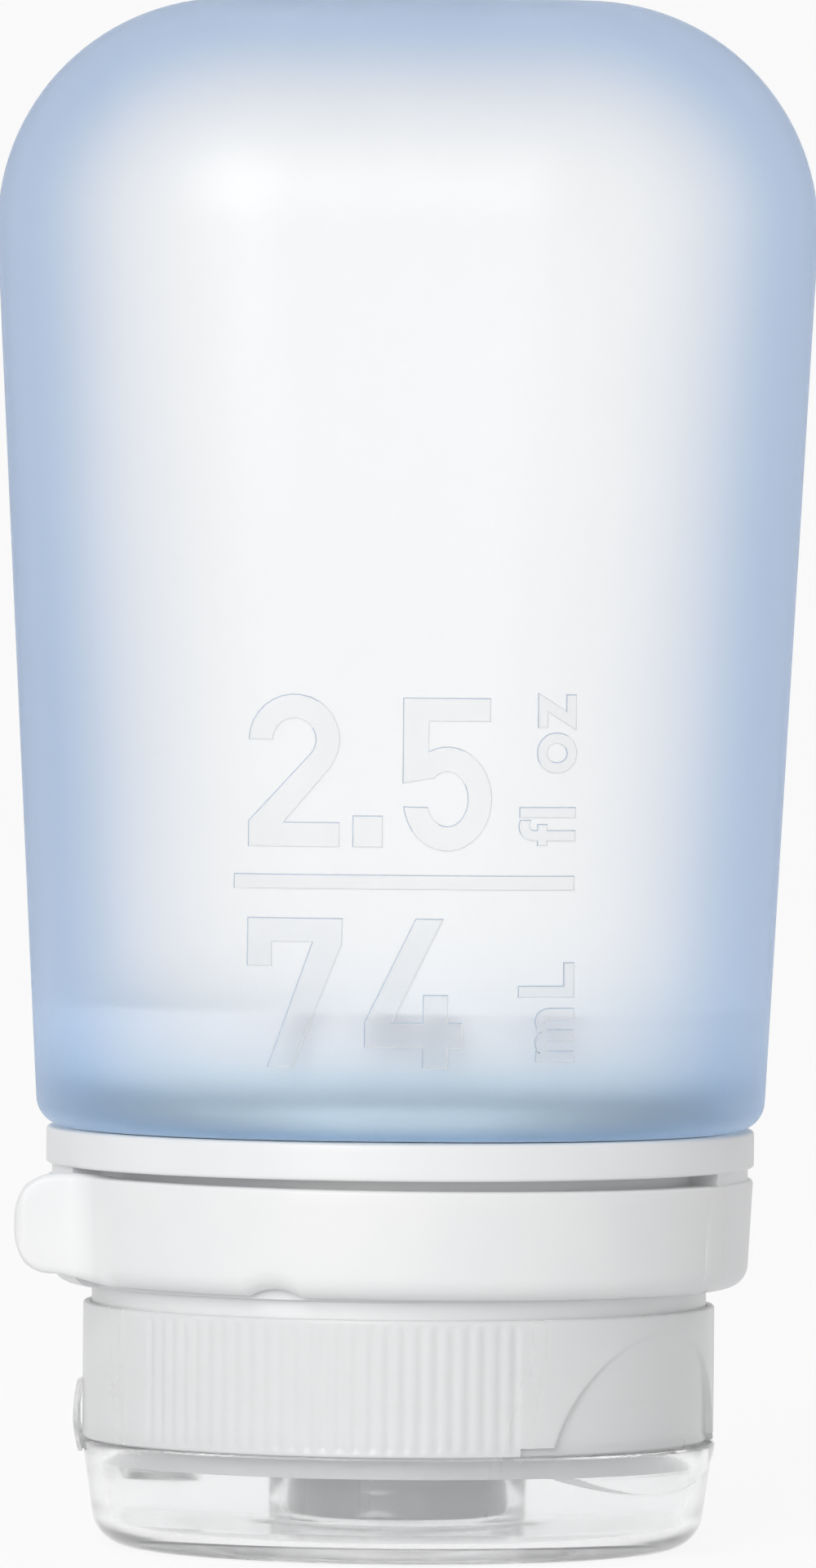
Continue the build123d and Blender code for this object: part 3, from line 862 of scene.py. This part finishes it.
def capBearings():
    # close steps over the ribs and the thumb recess, wider ones at the back
    half = cap["ribPitch"] / 2
    start = cap["firstRib"] - half
    end = cap["firstRib"] + cap["ribPitch"] * (cap["ribCount"] - 1) + half
    mirrored = 2 * cap["thumbBearing"]
    spans = (
        (start, end, cap["ribCount"] * 8), (end, mirrored - end, 170),
        (mirrored - end, mirrored - start, cap["ribCount"] * 8), (mirrored - start, start + 360, 72),
    )
    return [a + (b - a) * i / count for a, b, count in spans for i in range(count)]


def ribGroove(bearing, level):
    # how deep the soft upright groove is here
    pitch, foot, top = pick(cap, "ribPitch foot top")
    first = cap["firstRib"] - pitch / 2
    last = first + pitch * cap["ribCount"]
    own = bearing if first <= bearing <= last else 2 * cap["thumbBearing"] - bearing
    if not first <= own <= last:
        return 0
    off = (own - first) % pitch - pitch / 2
    across = radians(abs(off)) * cap["skirtRadius"] / (cap["ribWidth"] / 2)
    if across >= 1:
        return 0
    ends = smoothStep(level, foot + 0.1, foot + 0.6) * smoothStep(level, top - 0.15, top - 0.6)
    return cap["ribDepth"] * cos(across * pi / 2) ** 2 * ends


def thumbHollow(bearing, level):
    # the round recess for the thumb, deepest at the seam, with a slot along its foot
    radius, middle, depth, edge, foot = pick(cap, "thumbRadius thumbLevel thumbDepth thumbEdge foot")
    turn = (bearing - cap["thumbBearing"] + 180) % 360 - 180
    if abs(turn) > 60:
        return 0
    away = hypot(cap["skirtRadius"] * sin(radians(turn)), level - middle)
    rise = radius + middle + depth - foot
    deep = depth * (1 - (level - foot) / rise)
    hollow = deep * smoothStep(away, radius + edge / 2, radius - edge / 2)
    slotEnd = radians(cap["slotHalfTurn"] - abs(turn)) * cap["skirtRadius"]
    slotTop = foot + cap["slotHeight"]
    slot = smoothStep(slotEnd, -0.1, 0.1) * smoothStep(level, slotTop + 0.1, slotTop)
    return max(hollow, depth * slot)


def makeCap(material):
    def skin(bearing, level):
        return ribGroove(bearing, level) + thumbHollow(bearing, level)

    skirt, edge, foot, top, bore = pick(cap, "skirtRadius edgeRound foot top bore")
    counter, counterFoot, guideFoot = pick(cap, "counterbore counterboreFoot guideFoot")
    ledge, ledgeTop = pick(cap, "ledgeRadius ledgeTop")
    deckTop, deckFoot, seat, dish = pick(cap, "deckTop deckFoot valveSeat dishRadius")
    nozzle, nozzleBore, nozzleFoot, orifice = pick(cap, "nozzleRadius nozzleBore nozzleFoot orifice")
    face = roundedFace(skirt, foot, top, edge, 60, 3)
    profile = [(r, z, skin) for r, z in face[:-4]] + face[-4:]
    profile += [(counter + 0.05, top), (counter, top - 0.05), (counter, counterFoot), (bore, counterFoot)]
    guideTop = guideFoot + cap["guideHeight"]
    guide = bore - cap["guideDepth"] + 0.1
    femaleThread = threadDraw(180, 1)
    profile += [(bore, z, femaleThread) for z in steps(counterFoot, guideTop, 32)[1:-1]]
    profile += [(bore, guideTop), (guide, guideFoot + 0.2), (guide, guideFoot + 0.1), (bore, guideFoot)]
    profile += [(bore, ledgeTop), (ledge, ledgeTop), (ledge, deckTop), (11.5, deckTop), (8.0, deckTop)]
    profile += [(nozzleBore, deckTop), (nozzleBore, seat), (orifice, seat)]
    profile += [(orifice, nozzleFoot + 0.1), (orifice + 0.1, nozzleFoot)]
    profile += roundCorner(nozzle - 0.3, nozzleFoot + 0.3, 0.3, -90, 0, 4)
    profile += [(nozzle, 3.4), (nozzle, deckFoot - 0.25)]
    profile += roundCorner(nozzle + 0.25, deckFoot - 0.25, 0.25, 180, 90, 3)[1:]
    profile += [(10.0, deckFoot), (13.5, deckFoot), (dish, deckFoot), (dish, foot)]
    points, faces = skinRings(turnedRings(profile, capBearings()), closeLoop=True)
    root, reach = skirt - 0.5, hinge["reach"]
    addHingePart(points, faces, [(root, 6.39), (reach, 6.39), (reach, 6.97), (root, 7.55 + reach - root)])
    addHingePart(points, faces, roundCorner(reach, hinge["level"], hinge["bead"], 0, 345, 23))
    return meshObject("cap_skirt_and_nozzle", points, faces, material, smoothAngle=48)


capPiece = makeCap(makeMoulded("capPlastic", neckLook, clearness=0.33, roughness=(0.26, 0.32)))
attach(capPiece, "cap")
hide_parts("cap_base")

lid = {
    "top": 6.3, "footRadius": 17.71, "topRadius": 18.6, "footRound": 2.2, "floor": 1.2, "wall": 1.0,
    "innerRound": 0.9, "rimRadius": 17.3, "rimFoot": 5.0, "tubeRadius": 7.55, "tubeWall": 0.55,
    "tubeTop": 4.9, "stopRadius": 2.2, "stopTop": 1.45, "lipFoot": 3.8, "lipRadius": 26.0, "lipProud": 0.12,
}


def thumbLip(bearing, level):
    # the lens-shaped lip that flares from the wall under the thumb recess; drawn inwards by less than nothing
    turn = (bearing - cap["thumbBearing"] + 180) % 360 - 180
    if abs(turn) > 60 or level < lid["lipFoot"] - 0.2:
        return 0
    across = lid["topRadius"] * sin(radians(turn))
    away = hypot(across, level - lid["lipFoot"] - lid["lipRadius"])
    share = max(0, (level - lid["lipFoot"]) / (lid["top"] - lid["lipFoot"]))
    proud = lid["lipProud"] * (1 + 2 * share) / 3
    return -proud * smoothStep(away, lid["lipRadius"] + 0.1, lid["lipRadius"] - 0.1)


def makeLid(material):
    def wallRadius(z):
        return lid["footRadius"] + (lid["topRadius"] - lid["footRadius"]) * z / lid["top"]

    top, floor, footRound, innerRound = pick(lid, "top floor footRound innerRound")
    rim, rimFoot, tube, tubeTop = pick(lid, "rimRadius rimFoot tubeRadius tubeTop")
    stop, stopTop = pick(lid, "stopRadius stopTop")
    lean = degrees(atan((lid["topRadius"] - lid["footRadius"]) / top))
    centre = wallRadius(footRound) - footRound / cos(radians(lean))
    profile = [(r, 0) for r in (4.0, 9.0, 13.0, centre - 0.8)]
    profile += roundCorner(centre, footRound, footRound, -90, -lean, 14)
    profile += [(wallRadius(z), z, thumbLip) for z in steps(profile[-1][1], top - 0.12, 34)[1:]]
    profile += [(wallRadius(top) - 0.12, top, thumbLip), (rim + 0.08, top), (rim, top - 0.08), (rim, rimFoot)]
    innerFoot = wallRadius(floor) - lid["wall"]
    profile += [(innerFoot + (rim - innerFoot) * s, floor + (rimFoot - floor) * s) for s in (0.75, 0.5, 0.3)]
    profile += roundCorner(innerFoot - innerRound + 0.05, floor + innerRound, innerRound, 0, -90, 8)
    profile += [(13.0, floor), (9.0, floor), (tube + 0.2, floor), (tube, floor + 0.2), (tube, 3.0)]
    tubeIn = tube - lid["tubeWall"]
    profile += roundCorner(tube - 0.15, tubeTop - 0.15, 0.15, 0, 90, 3)
    profile += roundCorner(tubeIn + 0.15, tubeTop - 0.15, 0.15, 90, 180, 3)
    profile += [(tubeIn, 3.0), (tubeIn, floor + 0.2), (tubeIn - 0.2, floor), (4.0, floor)]
    profile += [(stop + 0.1, floor), (stop, stopTop - 0.08), (stop - 0.1, stopTop)]
    start = cap["thumbBearing"] - 44
    bearings = [start + 88 * i / 176 for i in range(176)] + [start + 88 + 272 * i / 180 for i in range(180)]
    points, faces = skinRings(turnedRings(profile, bearings), startPole=(0, 0, 0), endPole=(0, 0, stopTop))
    reach, root, bead = hinge["reach"], lid["topRadius"] - 0.65, hinge["bead"] + hinge["beadFit"]
    leaf = [(root, 6.26)] + roundCorner(reach, hinge["level"], bead, 188.6, 270, 8)
    addHingePart(points, faces, leaf + [(reach, 5.68), (root, 5.1 - reach + root)])
    return meshObject("lid_shell", points, faces, material, smoothAngle=48)


lidPiece = makeLid(makeMoulded("lidPlastic", lidLook))
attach(lidPiece, "lid")
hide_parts("flip_lid")
dress("valve_retainer", makeMoulded("retainerPlastic", neckLook, clearness=0.0))

straps = {
    "bearing": 236.8, "halfTurn": 31.0, "turn": 13.0, "top": 9.65, "foot": 5.5, "thickness": 0.25,
    "topRadius": 18.65, "footRadius": 18.59, "bowRadius": 18.9, "along": 22, "across": 12,
}


def makeStraps(material):
    # two thin spring straps that bow over the seam beside the hinge
    points, faces = [], []
    top, foot, along, across = pick(straps, "top foot along across")
    topRadius, footRadius, bowRadius = pick(straps, "topRadius footRadius bowRadius")
    for side in (-1, 1):
        rings = []
        middle = straps["bearing"] + side * straps["halfTurn"]
        for i in range(along + 1):
            share = i / along
            bow = 1 - (2 * share - 1) ** 2
            ends = topRadius + (footRadius - topRadius) * share
            inner = ends + (bowRadius - ends) * bow
            waist = 1 - 0.25 * bow
            ring = []
            for face, radius in ((1, inner + straps["thickness"]), (-1, inner)):
                for j in range(across + 1):
                    edge = 2 * j / across - 1
                    turn = middle + face * straps["turn"] / 2 * waist * edge
                    ring.append(aroundAxis(radius, radians(turn), top + (foot - top) * share))
            rings.append(ring)
        addShell(points, faces, rings)
    return meshObject("lid_straps", points, faces, material, smoothAngle=50)


strapPiece = makeStraps(makeMoulded("strapPlastic", lidLook, clearness=0.8, roughness=(0.15, 0.22)))
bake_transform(strapPiece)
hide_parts("hinge_straps")

valve = {
    "seat": 2.3, "flange": 0.8, "skin": 0.45, "domeRadius": 3.2, "domeDepth": 0.55, "radius": 5.15,
    "slitHalf": 2.2, "slitWidth": 0.08,
}


def valveDrop(radius):
    # how far the dome hangs below its flange
    share = min(1, radius / valve["domeRadius"])
    return valve["domeDepth"] * (1 - share**2) ** 0.7


def makeValve(material):
    # four soft petals that meet at a cross slit, in a thicker rim
    points, faces = [], []

    def addPatch(grid):
        start = len(points)
        rows, columns = len(grid), len(grid[0])
        for raised in (0, 1):
            for row in grid:
                for radius, angle, lift in row:
                    x, y = radius * cos(angle), radius * sin(angle)
                    level = valve["seat"] - valveDrop(hypot(x, y))
                    points.append((x, y, level + raised * lift))
        size = rows * columns
        for i in range(rows - 1):
            for j in range(columns - 1):
                a = start + i * columns + j
                faces.append((a, a + 1, a + columns + 1, a + columns))
                faces.append((a + size, a + size + columns, a + size + columns + 1, a + size + 1))
        border = [(0, j) for j in range(columns)] + [(i, columns - 1) for i in range(1, rows)]
        border += [(rows - 1, j) for j in range(columns - 2, -1, -1)]
        border += [(i, 0) for i in range(rows - 2, 0, -1)]
        for (i, j), (k, l) in zip(border, border[1:] + border[:1]):
            a, b = start + i * columns + j, start + k * columns + l
            faces.append((a, a + size, b + size, b))

    slit, skin = pick(valve, "slitHalf skin")
    for quarter in range(4):
        petal, rim = [], []
        for radius in steps(0.12, slit, 8):
            inset = asin(valve["slitWidth"] / 2 / radius)
            first, sweep = radians(90 * quarter) + inset, pi / 2 - 2 * inset
            petal.append([(radius, first + sweep * j / 12, skin) for j in range(13)])
        for radius in steps(slit, valve["radius"], 12):
            lift = skin if radius < valve["domeRadius"] else valve["flange"]
            rim.append([(radius, radians(90 * quarter + 90 * j / 12), lift) for j in range(13)])
        addPatch(petal)
        addPatch(rim)
    return meshObject("soft_valve", points, faces, material, smoothAngle=50)


valvePiece = makeValve(makeMoulded("valveSilicone", siliconeLook, clearness=0.5, wander=0.4))
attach(valvePiece, "valve_unit")
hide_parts("slit_valve")
print("neck, cap, lid, straps and valve dressed")


# Studio

studio = {
    "floorWhite": 0.95, "shadowShare": 0.12, "ambient": 0.47,
    "keyPower": 10.9, "keySize": 1.0, "keyPlace": (-0.42, -1.28, 0.59),
    "paperHalf": 2500, "paperBend": 900, "paperRound": 600, "paperTop": 2600, "paperDrop": 0.05,
}


def addMath(tree, operation, first, second):
    return addNode(tree, "Math", {0: first, 1: second}, operation=operation).outputs[0]


def brightRays(tree, path):
    # rays from the eye: straight, by way of a reflection or through glass
    straight = addMath(tree, "MAXIMUM", path["Is Camera Ray"], path["Is Glossy Ray"])
    return addMath(tree, "MAXIMUM", straight, path["Is Transmission Ray"])


def makeSweep():
    # a floor that curves up into a backdrop
    material, tree, shader = startMaterial("paperSweep")
    material.cycles.emission_sampling = "NONE"
    grain = placeGroup(tree, grainGroup, {"Grain Scale": 900.0, "Cloud Scale": 6.0})
    white = studio["floorWhite"]
    shade = mixColors(tree, grain.outputs["Cloud"], (white,) * 3, (white * 0.985,) * 3)
    feed(shader, {"Base Color": shade, "Roughness": 0.9})
    path = addNode(tree, "LightPath", {}).outputs
    glow = addNode(tree, "Emission", {"Color": (1, 1, 1, 1)}).outputs["Emission"]
    share = addMath(tree, "MULTIPLY", brightRays(tree, path), 1 - studio["shadowShare"])
    lit = addNode(tree, "MixShader", {"Fac": share, 1: shader.outputs["BSDF"], 2: glow}).outputs["Shader"]
    # a camera behind the paper looks through it; the sheet's normals point away from the bottle
    outerSide = addMath(tree, "SUBTRACT", 1.0, addNode(tree, "NewGeometry", {}).outputs["Backfacing"])
    fromBehind = addMath(tree, "MULTIPLY", outerSide, path["Is Camera Ray"])
    clear = addNode(tree, "BsdfTransparent", {}).outputs["BSDF"]
    paper = addNode(tree, "MixShader", {"Fac": fromBehind, 1: lit, 2: clear})
    feed(tree.nodes["Material Output"], {"Surface": paper.outputs["Shader"]})
    half, bend, curve = pick(studio, "paperHalf paperBend paperRound")
    arc = [radians(a) for a in range(6, 91, 6)]
    profile = [(-half, 0), (bend, 0)] + [(bend + curve * sin(a), curve * (1 - cos(a))) for a in arc]
    profile += [(bend + curve, studio["paperTop"])]
    points = [(x, y, z - studio["paperDrop"]) for y, z in profile for x in (-half, half)]
    faces = [(2 * i, 2 * i + 1, 2 * i + 3, 2 * i + 2) for i in range(len(profile) - 1)]
    sweep = meshObject("paper_sweep", points, faces, material)


def makeWorld():
    world = bpy.data.worlds.new("studioAir")
    # the light's path decides what the world shows, so it takes no light sampling
    world.cycles.sampling_method = "NONE"
    bpy.context.scene.world = world
    world.use_nodes = True
    tree = world.node_tree
    shade = feed(tree.nodes["Background"], {"Color": (1, 1, 1, 1), "Strength": studio["ambient"]})
    white = addNode(tree, "Background", {"Color": (1, 1, 1, 1), "Strength": 1.0}).outputs["Background"]
    seen = brightRays(tree, addNode(tree, "LightPath", {}).outputs)
    mix = addNode(tree, "MixShader", {"Fac": seen, 1: shade.outputs["Background"], 2: white})
    feed(tree.nodes["World Output"], {"Surface": mix.outputs["Shader"]})


def makeLamp(name, power, size, place, target=(0, 0, 0.045)):
    lamp = bpy.data.lights.new(name, "AREA")
    lamp.shape = "DISK"
    lamp.size = size
    lamp.energy = power
    holder = addObject(name, lamp)
    holder.location = place
    holder.rotation_euler = (Vector(target) - Vector(place)).to_track_quat("-Z", "Y").to_euler()


makeSweep()
makeWorld()
makeLamp("keyLamp", studio["keyPower"], studio["keySize"], studio["keyPlace"])
print("studio built")


# Camera

view = {"place": (0.28, -980.0, 71.6), "aim": (0.28, 0.0, 44.9), "lens": 382.1, "roll": 0.49}

camera = bpy.data.cameras.new("camera")
camera.sensor_fit = "AUTO"
camera.sensor_width = 36
camera.lens = view["lens"]
camera.clip_start, camera.clip_end = 0.05, 20
cameraHolder = addObject("camera", camera)
place, aim = Vector(view["place"]) * mm, Vector(view["aim"]) * mm
facing = (aim - place).to_track_quat("-Z", "Y").to_matrix()
turn = facing @ Matrix.Rotation(radians(view["roll"]), 3, "Z")
cameraHolder.matrix_world = Matrix.Translation(place) @ turn.to_4x4()
bpy.context.scene.camera = cameraHolder
bpy.context.scene.view_settings.view_transform = "Standard"
# clear walls inside clear walls need longer light paths
cycles = bpy.context.scene.cycles
cycles.max_bounces, cycles.transmission_bounces, cycles.glossy_bounces, cycles.diffuse_bounces = 32, 32, 24, 8
print("camera placed")
